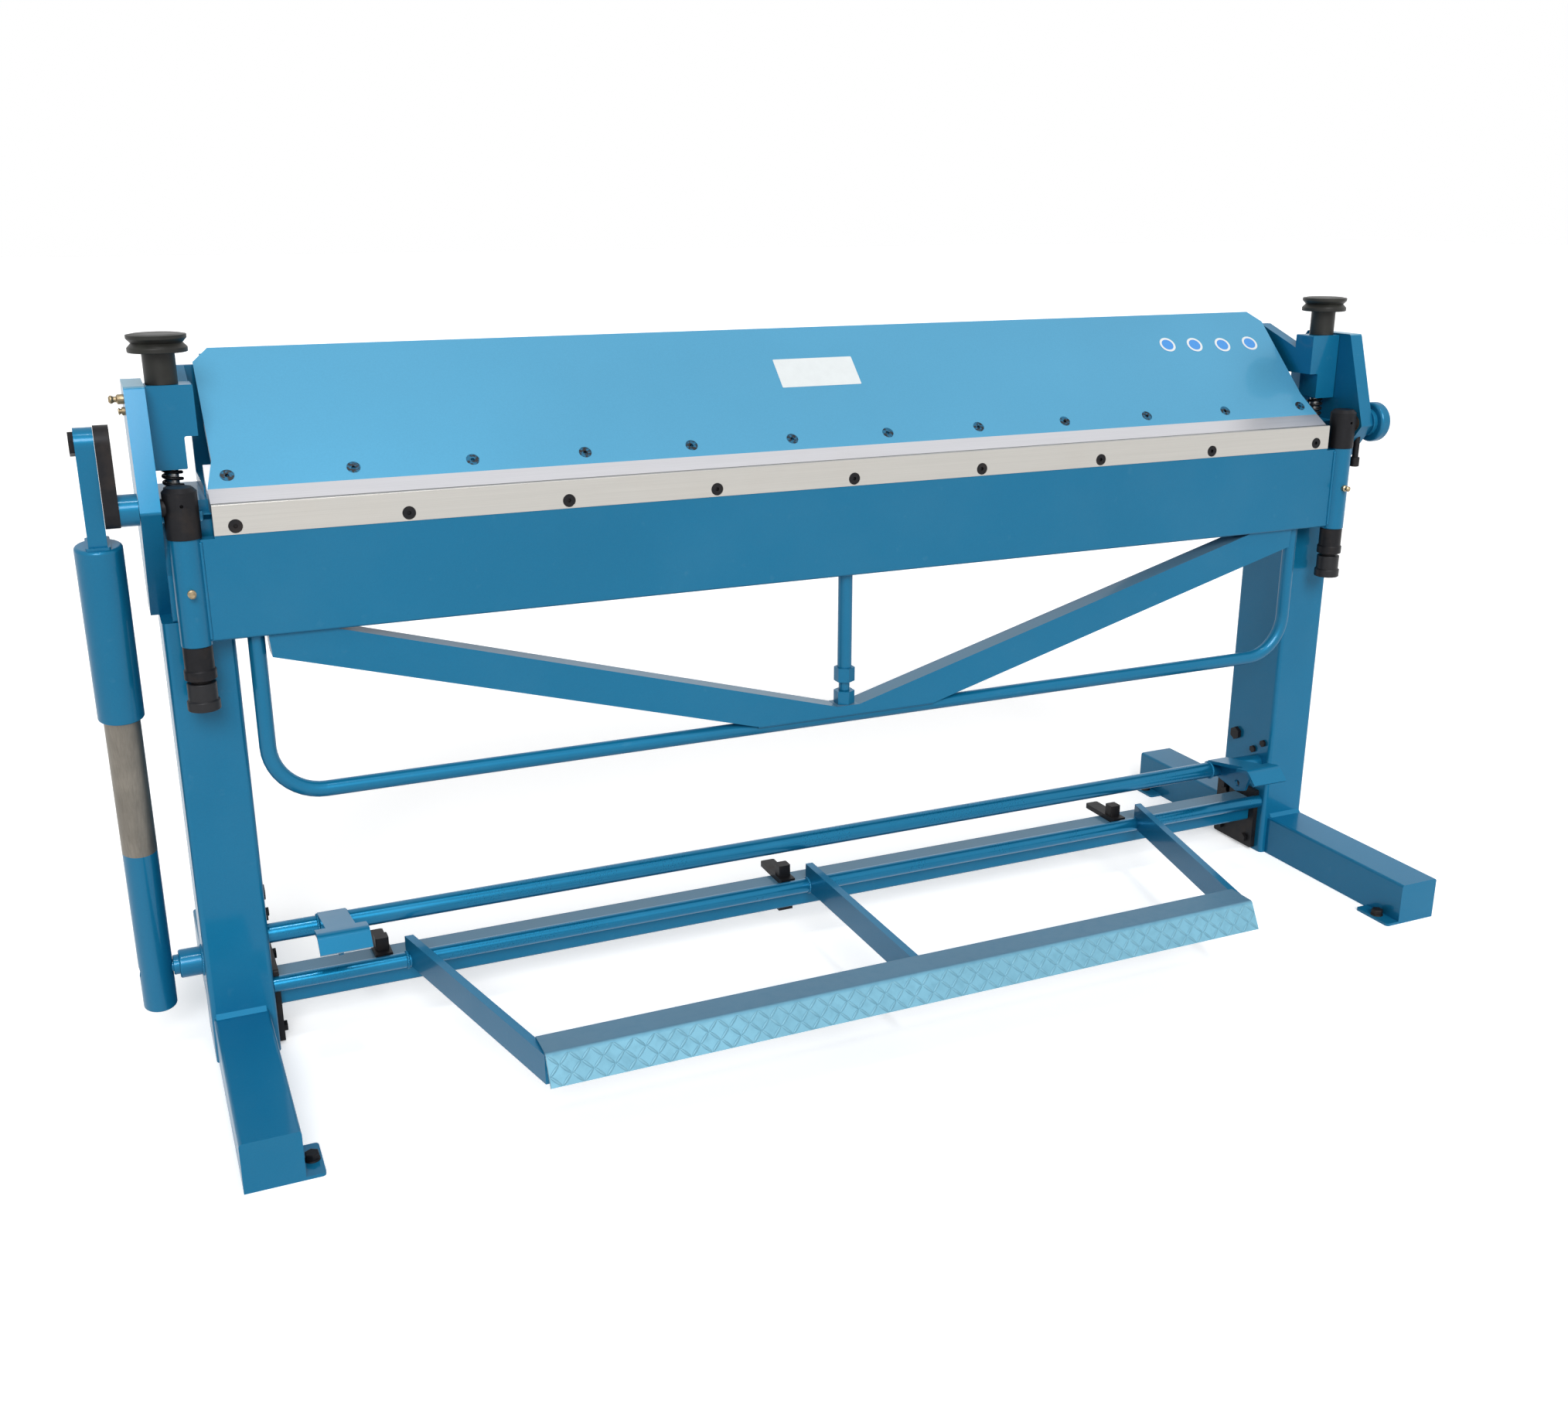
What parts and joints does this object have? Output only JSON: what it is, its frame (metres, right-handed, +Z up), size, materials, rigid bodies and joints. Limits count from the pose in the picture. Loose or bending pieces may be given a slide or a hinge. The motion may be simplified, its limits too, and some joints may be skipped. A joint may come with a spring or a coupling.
{
  "type": "manual sheet metal folding machine",
  "caption": "Floor-standing hand folder for sheet metal: foot-pedal clamping beam with bevelled nose, hinged folding beam with truss and lift handle, counterbalance strut.",
  "frame": {"origin": "on the floor, midway between the four floor anchor holes, half way along the working length", "axes": "+X to the operator's right along the folding line, +Y towards the back, +Z up"},
  "size_m": [2.3558, 0.909, 1.144],
  "materials": {
    "blue_dark": "gloss",
    "blue_light": "gloss",
    "blue_tread": "satin",
    "black_steel": "satin",
    "ground_steel": "ground",
    "bare_steel": "satin",
    "tube_grey": "satin",
    "bronze": "satin"
  },
  "bodies": {
    "stand": {"leg_left": "blue_dark", "leg_right": "blue_dark", "side_plate_left": "blue_dark", "side_plate_right": "blue_dark", "bed_beam": "blue_dark", "bed_bar": "ground_steel", "crossbar": "blue_dark", "crossbar_end_plates": "black_steel", "inner_bolts": "black_steel", "shaft_straps": "black_steel", "strap_bolts": "black_steel", "pivot_bushes": "bronze", "rod_bushes": "bronze", "plate_nipples": "bronze", "rocker_bolts": "black_steel", "pivot_collar": "blue_dark"},
    "folding_beam": {"apron": "blue_dark", "folding_blade": "ground_steel", "blade_screws": "black_steel", "brace": "blue_dark", "handle": "blue_dark", "truss_rod": "blue_dark", "truss_stud": "blue_dark", "lock_nuts": "black_steel", "pivot_head_left": "black_steel", "pivot_head_right": "black_steel", "barrel_nipples": "bronze", "spacer_stub": "blue_dark", "crank_plate": "black_steel", "end_disc": "blue_dark"},
    "clamping_beam": {"clamp_plate": "blue_light", "clamp_frame": "blue_dark", "nose_bar": "ground_steel", "nose_bolts": "black_steel", "end_block_left": "blue_dark", "end_block_right": "blue_dark", "pull_rods": "bare_steel", "return_springs": "black_steel"},
    "pedal": {"pedal_shaft": "blue_dark", "pedal_arms": "blue_tread", "pedal_tread": "blue_tread", "pedal_cranks": "bare_steel"},
    "links": {"links": "bare_steel"},
    "rockers": {"rockers": "bare_steel"},
    "release": {"release_shaft": "blue_dark", "release_pedals": "blue_tread", "latch_hooks": "bare_steel"},
    "knob_left": {"knob_left": "black_steel"},
    "knob_right": {"knob_right": "black_steel"},
    "strut_lower": {"strut_tube": "tube_grey", "gas_cylinder": "bare_steel"},
    "strut_upper": {"strut_sleeve": "blue_dark", "piston_rod": "bare_steel", "eye_bar": "blue_dark", "eye_bolt": "black_steel"},
    "clamp_screw": {"clamp_screw": "black_steel"},
    "truss_nut": {"truss_nut": "blue_dark"},
    "adjust_nut_left": {"adjust_nut_left": "black_steel"},
    "adjust_nut_right": {"adjust_nut_right": "black_steel"}
  },
  "joints": [
    {"name": "fold", "type": "hinge", "parent": "stand", "child": "folding_beam", "pos_m": [0, -0.075, 0.91], "axis": [-1, 0, 0], "range_deg": [0, 135]},
    {"name": "clamp", "type": "slide", "parent": "stand", "child": "clamping_beam", "axis": [0, 0, 1], "range_m": [0, 0.045], "deforming": ["return_springs"]},
    {"name": "pedal_swing", "type": "hinge", "parent": "stand", "child": "pedal", "pos_m": [0, -0.01, 0.111], "axis": [-1, 0, 0], "range_deg": [0, 28]},
    {"name": "link_swing", "type": "hinge", "parent": "pedal", "child": "links", "pos_m": [0, 0.01584, 0.10303], "axis": [1, 0, 0], "range_deg": [0, 28]},
    {"name": "rocker_swing", "type": "hinge", "parent": "stand", "child": "rockers", "pos_m": [0, 0.075, 0.238], "axis": [-1, 0, 0], "range_deg": [0, 38.19]},
    {"name": "release_press", "type": "hinge", "parent": "stand", "child": "release", "pos_m": [0, 0.006, 0.195], "axis": [1, 0, 0], "range_deg": [0, 12], "stiffness_Nm_per_rad": 30, "springref_deg": -11.46},
    {"name": "knob_left_turn", "type": "hinge", "parent": "clamping_beam", "child": "knob_left", "pos_m": [-1.062, 0.01, 1.1], "axis": [0, 0, 1], "continuous": true},
    {"name": "knob_right_turn", "type": "hinge", "parent": "clamping_beam", "child": "knob_right", "pos_m": [1.062, 0.01, 1.1], "axis": [0, 0, 1], "continuous": true},
    {"name": "strut_swing", "type": "hinge", "parent": "stand", "child": "strut_lower", "pos_m": [-1.1739, 0.04, 0.153], "axis": [-1, 0, 0], "range_deg": [0, 3.77]},
    {"name": "strut_slide", "type": "slide", "parent": "strut_lower", "child": "strut_upper", "axis": [0, 0.1336, -0.991], "range_m": [0, 0.17]},
    {"name": "clamp_screw_turn", "type": "hinge", "parent": "stand", "child": "clamp_screw", "pos_m": [1.101, -0.075, 0.86], "axis": [0, 0, 1], "continuous": true},
    {"name": "truss_nut_turn", "type": "hinge", "parent": "folding_beam", "child": "truss_nut", "pos_m": [0, -0.055, 0.486], "axis": [0, 0, 1], "continuous": true},
    {"name": "adjust_nut_left_turn", "type": "hinge", "parent": "folding_beam", "child": "adjust_nut_left", "pos_m": [-1.06, -0.075, 0.68], "axis": [0, 0, 1], "continuous": true},
    {"name": "adjust_nut_right_turn", "type": "hinge", "parent": "folding_beam", "child": "adjust_nut_right", "pos_m": [1.06, -0.075, 0.68], "axis": [0, 0, 1], "continuous": true}
  ],
  "couplings": [
    {"joint": "pedal_swing", "follows": "clamp", "rad_per_m": 10.859},
    {"joint": "link_swing", "follows": "clamp", "rad_per_m": 10.859},
    {"joint": "rocker_swing", "follows": "clamp", "rad_per_m": 14.81},
    {"joint": "strut_swing", "follows": "fold", "ratio": 0.027902},
    {"joint": "strut_slide", "follows": "fold", "m_per_rad": 0.072146}
  ]
}
